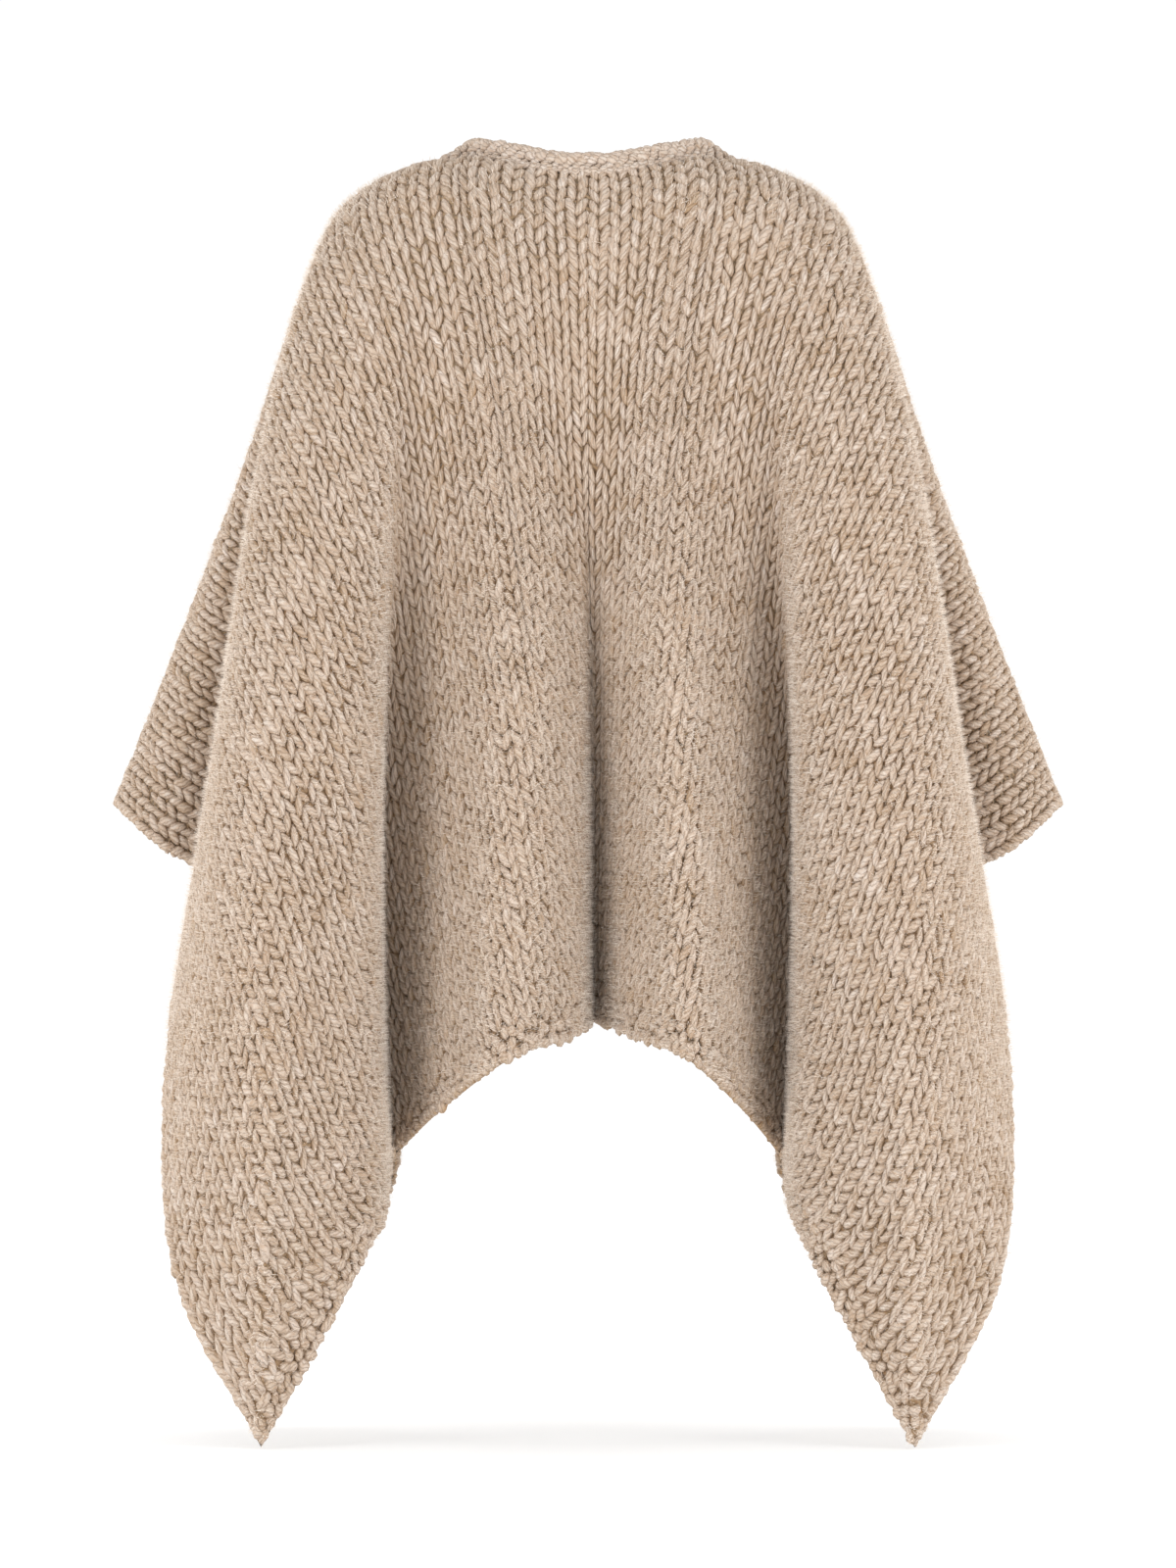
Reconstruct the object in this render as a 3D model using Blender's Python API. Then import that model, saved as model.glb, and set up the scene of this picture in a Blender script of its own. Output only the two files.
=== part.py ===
"""A chunky knitted poncho cape, worn: back panel, front panel and neckband.

The two panels are one rectangle each, laid over the shoulders and down the arms. Their side edges
hang free, so a corner falls into a long point on each side of the back and of the front.
The wearer faces +Y, the left hand is at -X, and +Z is up. The origin is at the middle of the neck
opening, where the shoulders hold the cape.

Each half panel is drawn by its fold lines. A fold line runs from the top edge (neck, then shoulder)
down to the free edge (hem, then side edge). The table gives each line in millimetres: how far it lies
from the centre line, how far behind the arm line it hangs, and the height of its two ends. Smooth
curves across the lines make the ridges and valleys of the drape.
"""
from typing import NamedTuple

import bpy
import numpy as np

MM = 0.001

# The cloth
WALL = 0.006  # super-chunky stocking stitch, without the part of a loop that stands proud
SEAM_GAP = 0.0003

# The neck opening, along the top edges of the panels
NECK_HALF_WIDTH = 0.110
NECK_BACK_DEPTH = 0.070
NECK_FRONT_DEPTH = 0.084
NECK_SIDE_HEIGHT = 0.002
NECK_BACK_HEIGHT = -0.014
NECK_FRONT_HEIGHT = -0.045
NECK_EVENNESS = 1.25  # spaces the fold lines round the neck

# The neckband, a narrow roll that stands on the neck edge
BAND_HEIGHT = 0.014
BAND_THICKNESS = 0.013
BAND_INSET = 0.0055  # the roll leans into the neck, off the slope of the shoulders
BAND_CORNERS = 8
FOOT_INNER, FOOT_OUTER = 5, 6  # the corners of the roll that stand on the panels' rim

# The bend over the shoulder, as a share of a fold line's length
DEPTH_BEND = 0.075
DROP_BEND = 0.07

# The front hangs a little shorter and narrower, so that the back hides it from behind
FRONT_LIFT = 0.030
FRONT_NARROWING = 0.03
FRONT_STRAY = -0.7  # its middle folds stray the other way, and less

# Mesh steps: between two fold lines, and down a fold line
STEPS_ACROSS = 4
STEPS_DOWN = 22
TOP_SPACING = 0.42  # the first step down, as a share of an even one

BACK_COLOUR = (0.62, 0.51, 0.41)
FRONT_COLOUR = (0.58, 0.47, 0.37)
BAND_COLOUR = (0.66, 0.55, 0.44)
WOOL_ROUGHNESS = 0.95


class Fold(NamedTuple):
    name: str
    x_top: float
    x_blade: float
    x_chest: float
    x_hip: float
    x_end: float
    y_blade: float
    y_chest: float
    y_hip: float
    y_end: float
    z_top: float
    z_end: float
    stray: float  # how far the line strays to the wearer's right, on both halves


FOLDS = (
    #                    x_top  blade  chest    hip    end   blade   chest     hip     end   z_top     end  stray
    Fold("middle valley", 0.0, 0.0, 0.0, 0.0, 0.0, -116.0, -119.0, -93.0, -74.0, -14.0, -777.0, 3.0),
    Fold("valley edge", 31.0, 27.0, 24.0, 26.0, 26.0, -115.0, -126.0, -142.0, -154.0, -13.0, -787.0, 13.0),
    Fold("middle ridge", 68.0, 76.0, 74.0, 82.0, 94.0, -112.0, -143.0, -182.0, -202.0, -7.0, -817.0, 8.0),
    Fold("side valley", 110.0, 133.0, 156.0, 181.0, 174.0, -100.0, -120.0, -76.0, -54.0, 2.0, -898.0, 0.0),
    Fold("inner wall", 152.0, 172.0, 190.0, 196.0, 192.0, -92.0, -150.0, -168.0, -148.0, -4.0, -970.0, 0.0),
    Fold("side ridge", 189.0, 207.0, 246.0, 280.0, 291.0, -84.0, -178.0, -228.0, -182.0, -20.0, -1154.0, 0.0),
    Fold("outer face", 203.0, 222.0, 280.0, 329.0, 373.0, -74.0, -164.0, -198.0, -124.0, -30.0, -986.0, 0.0),
    Fold("outer fold", 211.0, 233.0, 290.0, 326.0, 367.0, -62.0, -120.0, -134.0, -92.0, -37.0, -744.0, 0.0),
    Fold("tucked valley", 219.0, 239.0, 268.0, 281.0, 303.0, -45.0, -70.0, -40.0, -17.0, -45.0, -673.0, 0.0),
    Fold("sleeve strip", 227.0, 243.0, 294.0, 344.0, 385.0, -26.0, -42.0, -43.0, -40.0, -55.0, -621.0, 0.0),
    Fold("arm line", 233.0, 241.0, 295.0, 359.0, 427.0, 0.0, 0.0, 0.0, 0.0, -65.0, -583.0, 0.0),
)
TIP = 5  # the fold line that ends in the corner of the cloth
NECK_END = 3  # the fold line that starts where neck and shoulder meet
ARM = len(FOLDS) - 1


def table(*names):
    """The named columns of the fold table in metres, a row for each fold."""
    return np.array([[getattr(fold, name) for name in names] for fold in FOLDS]) * MM


def with_ends(knots, before=None, after=None):
    """The knots and a steering knot at each end, which runs straight on where none is given."""
    before = 2 * knots[0] - knots[1] if before is None else before
    after = 2 * knots[-1] - knots[-2] if after is None else after
    return np.concatenate([before[None], knots, after[None]])


def curve(knots, at):
    """A Catmull-Rom curve through knots[1], knots[2] and so on, read at the places in at."""
    first = np.clip(np.floor(at).astype(int), 0, len(knots) - 4)
    t = (at - first).reshape(-1, *[1] * (knots.ndim - 1))
    a, b, c, d = (knots[first + step] for step in range(4))
    return b + 0.5 * t * (c - a + t * (2 * a - 5 * b + 4 * c - d + t * (3 * (b - c) + d - a)))


def smooth_step(value, low, high):
    t = np.clip((value - low) / (high - low), 0, 1)
    return t * t * (3 - 2 * t)


def top_edge(p, neck_depth, neck_height):
    """The neck's oval as far as the neck end, then the shoulder line."""
    angle = 0.5 * np.pi * np.clip(p / NECK_END, 0, 1) ** NECK_EVENNESS
    rise = NECK_SIDE_HEIGHT - neck_height
    height = NECK_SIDE_HEIGHT - rise * np.cos(angle) ** 3
    neck = np.stack([NECK_HALF_WIDTH * np.sin(angle), -neck_depth * np.cos(angle), height], axis=-1)
    knots = with_ends(table("x_top", "z_top")[NECK_END:])
    shoulder = curve(knots, np.maximum(p - NECK_END, 0))
    shoulder = np.stack([shoulder[:, 0], 0 * p, shoulder[:, 1]], axis=-1)
    return np.where((p < NECK_END)[:, None], neck, shoulder)


def free_edge(p):
    """The hem as far as the tip, then the side edge: two smooth curves that meet in a corner."""
    ends = table("x_end", "y_end", "z_end")
    hem = curve(with_ends(ends[: TIP + 1], before=ends[1] * [-1, 1, 1]), np.minimum(p, TIP))
    side = curve(with_ends(ends[TIP:], after=ends[-2] * [1, -1, 1]), np.maximum(p - TIP, 0))
    return np.where((p < TIP)[:, None], hem, side)


def half_panel(p, q, neck_depth, neck_height):
    """The middle of the cloth at every pair of p, which counts the folds, and q, from top to free edge."""
    top = top_edge(p, neck_depth, neck_height)
    end = free_edge(p)
    stations = []
    for level in ("blade", "chest", "hip"):
        row = table("x_" + level, "y_" + level)
        # The curve mirrors at the centre line and turns over at the arm line.
        stations.append(curve(with_ends(row, row[1] * [-1, 1], row[-2] * [1, -1]), p))
    stations.append(end[:, :2])
    hang = curve(with_ends(np.stack(stations)), q * 3)
    bend = (q / np.hypot(q, DEPTH_BEND) * np.hypot(1, DEPTH_BEND))[:, None, None]
    flat = top[:, :2] + (hang - top[:, :2]) * bend
    # Beside the neck the cloth falls at once, and over the shoulder it bends down slowly.
    over_shoulder = smooth_step(p, 0.8, NECK_END) * (1 - smooth_step(p, NECK_END + 1, ARM))
    soft = DROP_BEND * over_shoulder + 1e-4
    fall = (np.hypot(q[:, None], soft) - soft) / (np.hypot(1, soft) - soft)
    height = top[:, 2] + (end[:, 2] - top[:, 2]) * fall
    return np.concatenate([flat, height[..., None]], axis=-1)


def back_points(s, q):
    """The back panel's middle surface, rows down and columns from the left arm line to the right one."""
    p = np.abs(s)
    point = half_panel(p, q, NECK_BACK_DEPTH, NECK_BACK_HEIGHT)
    point[..., 0] *= np.sign(s)
    stray = curve(with_ends(table("stray")), p)[:, 0]
    point[..., 0] += stray * smooth_step(q, 0.2, 0.8)[:, None]
    return point


def front_points(s, q):
    """The front panel: the same cut, turned to the front, with its own neck and a shorter fall."""
    p = np.abs(s)
    point = half_panel(p, q, NECK_FRONT_DEPTH, NECK_FRONT_HEIGHT)
    away_from_arm = 1 - smooth_step(p, TIP, ARM)
    low = smooth_step(q, 0, 1)[:, None]
    point[..., 0] *= np.sign(s) * (1 - FRONT_NARROWING * low * away_from_arm)
    point[..., 2] += FRONT_LIFT * q[:, None] * away_from_arm
    stray = FRONT_STRAY * curve(with_ends(table("stray")), p)[:, 0]
    point[..., 0] += stray * smooth_step(q, 0.2, 0.8)[:, None]
    point[..., 1] *= -1
    return point


def skins(points, s, q, facing):
    """The outer and the inner face of the wall. facing is -1 for the back panel and 1 for the front."""
    step = 1e-3
    across = points(np.minimum(s + step, ARM), q) - points(np.maximum(s - step, -ARM), q)
    down = points(s, np.minimum(q + step, 1)) - points(s, np.maximum(q - step, 0))
    out = np.cross(across, down) * facing
    out *= WALL / 2 / np.linalg.norm(out, axis=-1, keepdims=True)
    faces = np.stack([points(s, q) + out, points(s, q) - out])
    # Each panel stops half a seam gap short of the shoulder and arm line, and follows it all along.
    depth = np.maximum(facing * faces[..., 1], SEAM_GAP / 2)
    depth[:, 0, np.abs(s) >= NECK_END] = SEAM_GAP / 2
    depth[..., np.abs(s) == ARM] = SEAM_GAP / 2
    faces[..., 1] = facing * depth
    return faces


def new_object(name, vertices, faces, colour):
    mesh = bpy.data.meshes.new(name)
    mesh.from_pydata(vertices.reshape(-1, 3).tolist(), [], faces)
    mesh.shade_smooth()
    mesh.set_sharp_from_angle(angle=np.radians(50))
    material = bpy.data.materials.new(name)
    material.use_nodes = True
    shader = material.node_tree.nodes["Principled BSDF"]
    shader.inputs["Base Color"].default_value = (*colour, 1)
    shader.inputs["Roughness"].default_value = WOOL_ROUGHNESS
    shader.inputs["Metallic"].default_value = 0
    mesh.materials.append(material)
    made = bpy.data.objects.new(name, mesh)
    bpy.context.scene.collection.objects.link(made)
    return made


def panel(name, points, facing, colour):
    """A closed wall: two skins and the rim that joins them. Returns the skins' neck edge."""
    s = np.linspace(-ARM, ARM, 2 * ARM * STEPS_ACROSS + 1)
    t = np.linspace(0, 1, STEPS_DOWN + 1)
    q = t * (TOP_SPACING + (1 - TOP_SPACING) * t)
    wall = skins(points, s, q, facing)
    rows, columns = wall.shape[1:3]
    count = rows * columns
    grid = np.arange(count).reshape(rows, columns)
    corners = [grid[:-1, :-1], grid[:-1, 1:], grid[1:, 1:], grid[1:, :-1]]
    outer = np.stack([corner.ravel() for corner in corners], axis=1)
    rim = np.concatenate([grid[0, :-1], grid[:-1, -1], grid[-1, :0:-1], grid[:0:-1, 0]])
    onward = np.roll(rim, -1)
    side = np.stack([rim, rim + count, onward + count, onward], axis=1)
    faces = np.concatenate([outer[:, ::-1], outer + count, side[:, ::-1]])
    if facing > 0:
        faces = faces[:, ::-1]
    new_object(name, wall, faces.tolist(), colour)
    beside_neck = np.abs(s) <= NECK_END
    return wall[:, 0, beside_neck]


def neckband(back_edge, front_edge, colour):
    """One roll round the neck. Each edge is the outer and the inner top edge of a panel's wall."""
    loop = np.concatenate([back_edge, front_edge[:, -2:0:-1]], axis=1)
    middle = loop.mean(axis=0)
    along = np.roll(middle, -1, axis=0) - np.roll(middle, 1, axis=0)
    outward = np.stack([along[:, 1], -along[:, 0]], axis=-1)
    outward /= np.linalg.norm(outward, axis=-1, keepdims=True)
    foot = loop[..., 2].max(axis=0) + SEAM_GAP
    corner = (np.arange(BAND_CORNERS) + 0.5) * 2 * np.pi / BAND_CORNERS
    flat = np.cos(np.pi / BAND_CORNERS)
    wide = np.cos(corner) / flat * BAND_THICKNESS / 2
    tall = (np.sin(corner) / flat + 1) * BAND_HEIGHT / 2
    ring = middle[:, None, :2] + outward[:, None] * (wide - BAND_INSET)[:, None]
    height = np.broadcast_to(foot[:, None] + tall, ring.shape[:2])
    vertices = np.concatenate([ring, height[..., None]], axis=-1)
    # The lowest face of the roll follows the rim of the wall, however the cloth slopes there.
    off_the_rim = np.cross(loop[0] - loop[1], along)
    off_the_rim *= SEAM_GAP / np.linalg.norm(off_the_rim, axis=-1, keepdims=True)
    vertices[:, [FOOT_OUTER, FOOT_INNER]] = (loop + off_the_rim).swapaxes(0, 1)
    around, section = ring.shape[:2]
    grid = np.arange(around * section).reshape(around, section)
    ahead = np.roll(grid, -1, axis=0)
    up = np.roll(grid, -1, axis=1)
    both = np.roll(ahead, -1, axis=1)
    faces = np.stack([grid, ahead, both, up], axis=-1).reshape(-1, 4)
    return new_object("neckband", vertices, faces.tolist(), colour)


def main():
    for old in list(bpy.data.objects):
        bpy.data.objects.remove(old)
    back_edge = panel("back_panel", back_points, -1, BACK_COLOUR)
    front_edge = panel("front_panel", front_points, 1, FRONT_COLOUR)
    neckband(back_edge, front_edge, BAND_COLOUR)


main()
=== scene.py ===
# %% [markdown]
# # A knitted poncho cape
# The real cape is two rectangles of very thick stocking stitch, joined over the shoulders and the arms
# and hung from the neck. The CAD solids already have its worn shape. This lesson dresses them: it lays a
# thin cloth on the same surface, flattens that surface to find the knitter's rectangle, and then sets
# every stitch of the rectangle back on the folds.

import math

import bpy
import numpy as np
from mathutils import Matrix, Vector
from mathutils.bvhtree import BVHTree


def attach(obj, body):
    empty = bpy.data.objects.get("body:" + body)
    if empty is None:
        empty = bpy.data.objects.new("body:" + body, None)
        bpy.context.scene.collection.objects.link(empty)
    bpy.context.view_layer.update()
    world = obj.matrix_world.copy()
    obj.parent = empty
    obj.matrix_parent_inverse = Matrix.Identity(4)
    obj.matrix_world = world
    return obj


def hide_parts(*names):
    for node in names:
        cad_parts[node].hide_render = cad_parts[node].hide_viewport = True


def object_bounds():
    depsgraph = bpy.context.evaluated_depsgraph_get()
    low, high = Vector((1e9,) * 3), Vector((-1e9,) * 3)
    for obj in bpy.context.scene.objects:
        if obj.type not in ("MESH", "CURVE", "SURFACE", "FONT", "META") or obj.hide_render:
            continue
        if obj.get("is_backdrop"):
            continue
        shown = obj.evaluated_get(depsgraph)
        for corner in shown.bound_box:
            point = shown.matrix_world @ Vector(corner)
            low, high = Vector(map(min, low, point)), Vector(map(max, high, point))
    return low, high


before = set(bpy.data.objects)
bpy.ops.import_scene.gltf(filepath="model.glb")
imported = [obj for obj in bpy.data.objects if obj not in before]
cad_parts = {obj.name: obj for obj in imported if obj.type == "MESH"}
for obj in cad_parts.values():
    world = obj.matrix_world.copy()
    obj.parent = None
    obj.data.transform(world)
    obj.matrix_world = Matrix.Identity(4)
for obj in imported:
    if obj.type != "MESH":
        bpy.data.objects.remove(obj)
cad_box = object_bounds()
MM = 0.001
print("CAD box", [tuple(round(value, 4) for value in corner) for corner in cad_box])

# %% [markdown]
# ## The worn shape
# A fold of cloth is hard to model by pushing points about. It is easier to name the lines that a dresser
# would see, the ridges and the valleys, and to say where each one runs. Every line here starts at the
# neck or the shoulder, passes the levels of the blade, the chest and the hip, and ends at the free edge.
# These are the same numbers as in the part's source, so the cloth lies exactly on its solid.

# %% Fold lines of half a panel
NECK_HALF_WIDTH = 0.110
NECK_BACK_DEPTH = 0.070
NECK_FRONT_DEPTH = 0.084
NECK_SIDE_HEIGHT = 0.002
NECK_BACK_HEIGHT = -0.014
NECK_FRONT_HEIGHT = -0.045
NECK_EVENNESS = 1.25
DEPTH_BEND = 0.075
DROP_BEND = 0.07
FRONT_LIFT = 0.030
FRONT_NARROWING = 0.03
FRONT_STRAY = -0.7
STRAY_LEVELS = (0.2, 0.8)
FOLD_COLUMNS = ("x_top", "x_blade", "x_chest", "x_hip", "x_end", "y_blade", "y_chest", "y_hip",
                "y_end", "z_top", "z_end", "stray")
FOLDS = {
    "middle valley": (0, 0, 0, 0, 0, -116, -119, -93, -74, -14, -777, 3),
    "valley edge": (31, 27, 24, 26, 26, -115, -126, -142, -154, -13, -787, 13),
    "middle ridge": (68, 76, 74, 82, 94, -112, -143, -182, -202, -7, -817, 8),
    "side valley": (110, 133, 156, 181, 174, -100, -120, -76, -54, 2, -898, 0),
    "inner wall": (152, 172, 190, 196, 192, -92, -150, -168, -148, -4, -970, 0),
    "side ridge": (189, 207, 246, 280, 291, -84, -178, -228, -182, -20, -1154, 0),
    "outer face": (203, 222, 280, 329, 373, -74, -164, -198, -124, -30, -986, 0),
    "outer fold": (211, 233, 290, 326, 367, -62, -120, -134, -92, -37, -744, 0),
    "tucked valley": (219, 239, 268, 281, 303, -45, -70, -40, -17, -45, -673, 0),
    "sleeve strip": (227, 243, 294, 344, 385, -26, -42, -43, -40, -55, -621, 0),
    "arm line": (233, 241, 295, 359, 427, 0, 0, 0, 0, -65, -583, 0),
}
NECK_END = 3
TIP = 5
ARM = len(FOLDS) - 1


def fold_table(*names):
    picked = [FOLD_COLUMNS.index(name) for name in names]
    return np.array([[row[index] for index in picked] for row in FOLDS.values()]) * MM


print(len(FOLDS), "fold lines from the centre to the arm")

# %% [markdown]
# ## A smooth surface through the lines
# A curve that passes through all its points keeps each named line where it was put. It is used twice:
# across the panel, from fold to fold, and down it, from level to level. The shoulder is rounded by
# letting the height fall slowly at first.


# %% Curves through the named points
def with_ends(knots, before=None, after=None):
    before = 2 * knots[0] - knots[1] if before is None else before
    after = 2 * knots[-1] - knots[-2] if after is None else after
    return np.concatenate([before[None], knots, after[None]])


def curve(knots, at):
    first = np.clip(np.floor(at).astype(int), 0, len(knots) - 4)
    t = (at - first).reshape(-1, *[1] * (knots.ndim - 1))
    a, b, c, d = (knots[first + step] for step in range(4))
    return b + 0.5 * t * (c - a + t * (2 * a - 5 * b + 4 * c - d + t * (3 * (b - c) + d - a)))


def smooth_step(value, low, high):
    t = np.clip((value - low) / (high - low), 0, 1)
    return t * t * (3 - 2 * t)


# %% The two edges of half a panel
def top_edge(p, neck_depth, neck_height):
    angle = 0.5 * np.pi * np.clip(p / NECK_END, 0, 1) ** NECK_EVENNESS
    height = NECK_SIDE_HEIGHT - (NECK_SIDE_HEIGHT - neck_height) * np.cos(angle) ** 3
    neck = np.stack([NECK_HALF_WIDTH * np.sin(angle), -neck_depth * np.cos(angle), height], axis=-1)
    shoulder = curve(with_ends(fold_table("x_top", "z_top")[NECK_END:]), np.maximum(p - NECK_END, 0))
    shoulder = np.stack([shoulder[:, 0], 0 * p, shoulder[:, 1]], axis=-1)
    return np.where((p < NECK_END)[:, None], neck, shoulder)


def free_edge(p):
    ends = fold_table("x_end", "y_end", "z_end")
    hem = curve(with_ends(ends[: TIP + 1], before=ends[1] * [-1, 1, 1]), np.minimum(p, TIP))
    side = curve(with_ends(ends[TIP:], after=ends[-2] * [1, -1, 1]), np.maximum(p - TIP, 0))
    return np.where((p < TIP)[:, None], hem, side)


# %% Half a panel, and what makes it the back or the front
def half_panel(p, q, neck_depth, neck_height):
    top = top_edge(p, neck_depth, neck_height)
    end = free_edge(p)
    stations = []
    for level in ("blade", "chest", "hip"):
        row = fold_table("x_" + level, "y_" + level)
        stations.append(curve(with_ends(row, row[1] * [-1, 1], row[-2] * [1, -1]), p))
    stations.append(end[:, :2])
    hang = curve(with_ends(np.stack(stations)), q * 3)
    bend = (q / np.hypot(q, DEPTH_BEND) * np.hypot(1, DEPTH_BEND))[:, None, None]
    flat = top[:, :2] + (hang - top[:, :2]) * bend
    over_shoulder = smooth_step(p, 0.8, NECK_END) * (1 - smooth_step(p, NECK_END + 1, ARM))
    soft = DROP_BEND * over_shoulder + 1e-4
    fall = (np.hypot(q[:, None], soft) - soft) / (np.hypot(1, soft) - soft)
    height = top[:, 2] + (end[:, 2] - top[:, 2]) * fall
    return np.concatenate([flat, height[..., None]], axis=-1)


def back_points(s, q):
    p = np.abs(s)
    point = half_panel(p, q, NECK_BACK_DEPTH, NECK_BACK_HEIGHT)
    stray = curve(with_ends(fold_table("stray")), p)[:, 0]
    point[..., 0] = point[..., 0] * np.sign(s) + stray * smooth_step(q, *STRAY_LEVELS)[:, None]
    return point


def front_points(s, q):
    p = np.abs(s)
    point = half_panel(p, q, NECK_FRONT_DEPTH, NECK_FRONT_HEIGHT)
    stray = FRONT_STRAY * curve(with_ends(fold_table("stray")), p)[:, 0]
    away_from_arm = 1 - smooth_step(p, TIP, ARM)
    low = smooth_step(q, 0, 1)[:, None]
    point[..., 0] *= np.sign(s) * (1 - FRONT_NARROWING * low * away_from_arm)
    point[..., 2] += FRONT_LIFT * q[:, None] * away_from_arm
    point[..., 0] += stray * smooth_step(q, *STRAY_LEVELS)[:, None]
    point[..., 1] *= -1
    return point


# %% Fine grids of the four halves
TOP_SPACING = 0.42
COLUMNS = 400
ROWS = 160
HALVES = {
    "back_right": (back_points, 1, -1),
    "back_left": (back_points, -1, -1),
    "front_right": (front_points, 1, 1),
    "front_left": (front_points, -1, 1),
}


def unit(vectors):
    return vectors / np.linalg.norm(vectors, axis=-1, keepdims=True)


def fine_grid(points, side, facing):
    """Points and outward normals of one half, rows from the top edge to the free edge."""
    p = np.linspace(0, ARM, COLUMNS + 1)
    t = np.linspace(0, 1, ROWS + 1)
    place = points(side * np.maximum(p, 1e-6), t * (TOP_SPACING + (1 - TOP_SPACING) * t))
    normal = np.cross(np.gradient(place, axis=1), np.gradient(place, axis=0)) * side * facing
    return place, unit(normal)


grids = {name: fine_grid(*half) for name, half in HALVES.items()}
print("surface points in each half:", grids["back_right"][0].shape)

# %% [markdown]
# ## Back to the knitter's rectangle
# Stitches follow the yarn, and the yarn follows the rectangle that was knitted, not the folds. So the
# worn surface is flattened as a pattern cutter would do it: each small triangle keeps its size and may
# only turn, and the pieces are pulled together until they agree. The shoulder and arm line, the hem and
# the side edge are held straight, because they are the straight edges of the rectangle.

# %% Triangles of half a panel
CUT_HALF_WIDTH = 0.810
CUT_LENGTH = 0.800
CUT_COLUMNS = 40
CUT_ROWS = 20
CUT_ROUNDS = 90
STIFFNESS = (0.02, 20)
HOLD = 1e6
CORNERS = ((0, 1, 2), (1, 2, 0), (2, 0, 1))


def grid_triangles(rows, columns, diagonals=2):
    """Corner numbers, with each square of the grid cut along one diagonal, or along both in turn."""
    index = np.arange(rows * columns).reshape(rows, columns)
    a, b = index[:-1, :-1].ravel(), index[:-1, 1:].ravel()
    c, d = index[1:, 1:].ravel(), index[1:, :-1].ravel()
    corners = [(a, b, c), (a, c, d), (a, b, d), (b, c, d)][: 2 * diagonals]
    return np.concatenate([np.stack(three, axis=1) for three in corners])


def triangle_shapes(place, triangles):
    """Each triangle's corners in its own plane, and the weight of the side across from each corner."""
    one = place[triangles[:, 1]] - place[triangles[:, 0]]
    two = place[triangles[:, 2]] - place[triangles[:, 0]]
    length = np.linalg.norm(one, axis=1)
    along = (two * one).sum(axis=1) / length
    off = np.sqrt(np.maximum((two**2).sum(axis=1) - along**2, 1e-14))
    shape = np.zeros((len(triangles), 3, 2))
    shape[:, 1, 0] = length
    shape[:, 2] = np.stack([along, off], axis=1)
    weight = np.zeros((len(triangles), 3))
    for corner, start, end in CORNERS:
        u = shape[:, start] - shape[:, corner]
        v = shape[:, end] - shape[:, corner]
        weight[:, corner] = (u * v).sum(axis=1) / np.abs(u[:, 0] * v[:, 1] - u[:, 1] * v[:, 0])
    return shape, np.clip(weight, *STIFFNESS)


# %% Flattening a grid
def flatten(place, first_guess, held_across, held_down):
    """Lays the grid out flat. The held dictionaries give fixed values by point number."""
    triangles = grid_triangles(*place.shape[:2])
    place = place.reshape(-1, 3)
    shape, weight = triangle_shapes(place, triangles)
    count = len(place)
    sides = [(triangles[:, start], triangles[:, end], shape[:, start] - shape[:, end], weight[:, corner])
             for corner, start, end in CORNERS]
    web = np.zeros((count, count))
    for i, j, _, stiff in sides:
        for one, other, sign in ((i, i, 1), (j, j, 1), (i, j, -1), (j, i, -1)):
            np.add.at(web, (one, other), sign * stiff)
    solvers = []
    for held in (held_across, held_down):
        matrix = web.copy()
        fixed = np.array(list(held))
        matrix[fixed, fixed] += HOLD
        solvers.append((np.linalg.inv(matrix), fixed, np.array(list(held.values()))))
    flat = first_guess.reshape(-1, 2).copy()
    for _ in range(CUT_ROUNDS):
        spin = np.zeros((len(triangles), 2, 2))
        for i, j, side, stiff in sides:
            spin += stiff[:, None, None] * (flat[i] - flat[j])[:, :, None] * side[:, None, :]
        angle = np.arctan2(spin[:, 1, 0] - spin[:, 0, 1], spin[:, 0, 0] + spin[:, 1, 1])
        pull = np.zeros((count, 2))
        for i, j, side, stiff in sides:
            turned = np.stack([np.cos(angle) * side[:, 0] - np.sin(angle) * side[:, 1],
                               np.sin(angle) * side[:, 0] + np.cos(angle) * side[:, 1]], axis=1)
            turned *= stiff[:, None]
            for axis in range(2):
                pull[:, axis] += np.bincount(i, turned[:, axis], count)
                pull[:, axis] -= np.bincount(j, turned[:, axis], count)
        for axis, (solver, fixed, values) in enumerate(solvers):
            target = pull[:, axis].copy()
            target[fixed] += HOLD * values
            flat[:, axis] = solver @ target
    return flat.reshape(-1, 2)


# %% The cut of each half
def run_length(points):
    return np.concatenate([[0], np.cumsum(np.linalg.norm(np.diff(points, axis=0), axis=1))])


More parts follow.
